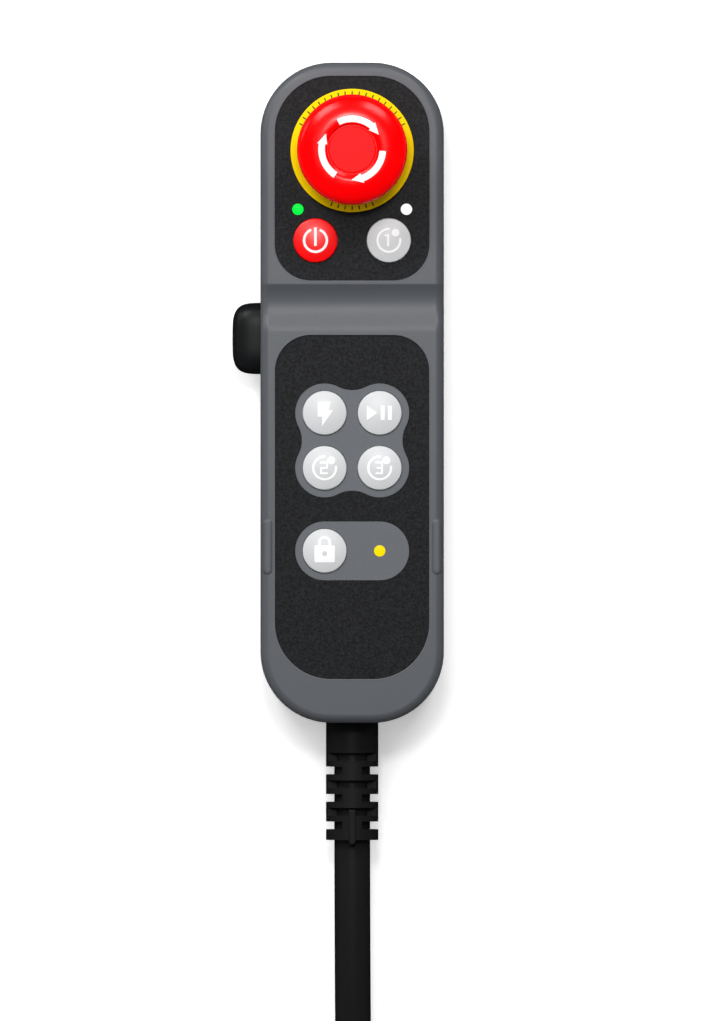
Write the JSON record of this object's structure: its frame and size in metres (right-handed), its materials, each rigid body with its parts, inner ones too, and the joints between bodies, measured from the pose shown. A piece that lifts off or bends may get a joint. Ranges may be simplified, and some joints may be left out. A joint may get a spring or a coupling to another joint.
{
  "type": "pendant control station",
  "caption": "Slim hand-held control pendant: mushroom emergency stop, domed keys, indicator lamps, side enabling switch, ribbed strain relief and a hanked cord with connector.",
  "frame": {"origin": "centre of the housing's flat back, on the surface it lies on", "axes": "+X across the housing away from the enabling switch, +Y along the housing towards the emergency stop, +Z out of the front face"},
  "size_m": [0.0967, 0.4801, 0.0555],
  "materials": {
    "housing_plastic": "fine-grained dark grey moulding",
    "panel_foil": "fine-textured black",
    "surround_grey": "flat mid grey",
    "key_silver": "satin silver-white",
    "key_red": "satin red",
    "stop_red": "satin red",
    "stop_yellow": "satin yellow",
    "black_plastic": "satin black",
    "cable_jacket": "satin black",
    "soft_rubber": "matt",
    "lens_green": "clear green",
    "lens_white": "clear",
    "lens_yellow": "clear yellow",
    "board_green": "solder resist",
    "steel": "zinc plated",
    "brass": "turned",
    "copper_cores": "core insulation",
    "plug_metal": "satin nickel",
    "tie_black": "woven strap"
  },
  "bodies": {
    "housing": {"front_shell": "housing_plastic", "rear_shell": "housing_plastic", "shell_gasket": "soft_rubber", "upper_panel": "panel_foil", "lower_panel": "panel_foil", "four_key_surround": "surround_grey", "lock_key_surround": "surround_grey", "green_lamp_lens": "lens_green", "white_lamp_lens": "lens_white", "yellow_lamp_lens": "lens_yellow", "upper_circuit_board": "board_green", "lower_circuit_board": "board_green", "upper_key_mat": "soft_rubber", "lower_key_mat": "soft_rubber", "board_link_ribbon": "copper_cores", "lamp_chips": "lens_white", "board_screws": "steel", "wire_header": "black_plastic", "cable_cores": "copper_cores", "estop_ring": "stop_yellow", "estop_seal": "soft_rubber", "estop_barrel": "black_plastic", "estop_nut": "steel", "estop_spring": "steel", "estop_contact_block": "black_plastic", "enable_frame": "black_plastic", "enable_spring": "steel", "enable_switch_body": "black_plastic", "strain_relief": "cable_jacket", "cable_clamp": "steel", "clamp_screws": "steel", "case_screws": "steel", "threaded_inserts": "brass", "cable_tube": "cable_jacket", "cable_tail": "cable_jacket", "cable_hank": "cable_jacket", "hank_ties": "tie_black", "cable_inner_end": "cable_jacket", "plug_cable_nut": "plug_metal", "plug_shell": "plug_metal", "plug_insert": "black_plastic", "plug_pins": "brass"},
    "power_button": {"power_key": "key_red"},
    "preset_one_button": {"preset_one_key": "key_silver"},
    "charge_button": {"charge_key": "key_silver"},
    "play_pause_button": {"play_pause_key": "key_silver"},
    "preset_two_button": {"preset_two_key": "key_silver"},
    "preset_three_button": {"preset_three_key": "key_silver"},
    "lock_button": {"lock_key": "key_silver"},
    "stop_plunger": {"estop_stem": "steel"},
    "stop_mushroom": {"estop_head": "stop_red"},
    "enabling_button": {"enable_button": "black_plastic", "enable_plunger": "black_plastic"},
    "coupling_ring": {"plug_coupling_ring": "plug_metal"}
  },
  "joints": [
    {"name": "power_press", "type": "slide", "parent": "housing", "child": "power_button", "axis": [0, 0, -1], "range_m": [0, 0.0012], "stiffness_N_per_m": 800, "springref_m": -0.0003, "deforming": ["upper_key_mat"]},
    {"name": "preset_one_press", "type": "slide", "parent": "housing", "child": "preset_one_button", "axis": [0, 0, -1], "range_m": [0, 0.0012], "stiffness_N_per_m": 800, "springref_m": -0.0003, "deforming": ["upper_key_mat"]},
    {"name": "charge_press", "type": "slide", "parent": "housing", "child": "charge_button", "axis": [0, 0, -1], "range_m": [0, 0.0012], "stiffness_N_per_m": 800, "springref_m": -0.0003, "deforming": ["lower_key_mat"]},
    {"name": "play_pause_press", "type": "slide", "parent": "housing", "child": "play_pause_button", "axis": [0, 0, -1], "range_m": [0, 0.0012], "stiffness_N_per_m": 800, "springref_m": -0.0003, "deforming": ["lower_key_mat"]},
    {"name": "preset_two_press", "type": "slide", "parent": "housing", "child": "preset_two_button", "axis": [0, 0, -1], "range_m": [0, 0.0012], "stiffness_N_per_m": 800, "springref_m": -0.0003, "deforming": ["lower_key_mat"]},
    {"name": "preset_three_press", "type": "slide", "parent": "housing", "child": "preset_three_button", "axis": [0, 0, -1], "range_m": [0, 0.0012], "stiffness_N_per_m": 800, "springref_m": -0.0003, "deforming": ["lower_key_mat"]},
    {"name": "lock_press", "type": "slide", "parent": "housing", "child": "lock_button", "axis": [0, 0, -1], "range_m": [0, 0.0012], "stiffness_N_per_m": 800, "springref_m": -0.0003, "deforming": ["lower_key_mat"]},
    {"name": "estop_push", "type": "slide", "parent": "housing", "child": "stop_plunger", "axis": [0, 0, -1], "range_m": [0, 0.004], "deforming": ["estop_spring"]},
    {"name": "estop_release", "type": "hinge", "parent": "stop_plunger", "child": "stop_mushroom", "pos_m": [0, 0.066, 0.048], "axis": [0, 0, -1], "range_deg": [0, 45], "stiffness_Nm_per_rad": 0.02, "springref_deg": -5.73},
    {"name": "enable_press", "type": "slide", "parent": "housing", "child": "enabling_button", "axis": [1, 0, 0], "range_m": [0, 0.004], "stiffness_N_per_m": 1200, "springref_m": -0.0005, "deforming": ["enable_spring"]},
    {"name": "coupling_ring_turn", "type": "hinge", "parent": "housing", "child": "coupling_ring", "pos_m": [-0.0583, -0.1895, 0.0121], "axis": [0, 1, 0], "continuous": true}
  ]
}
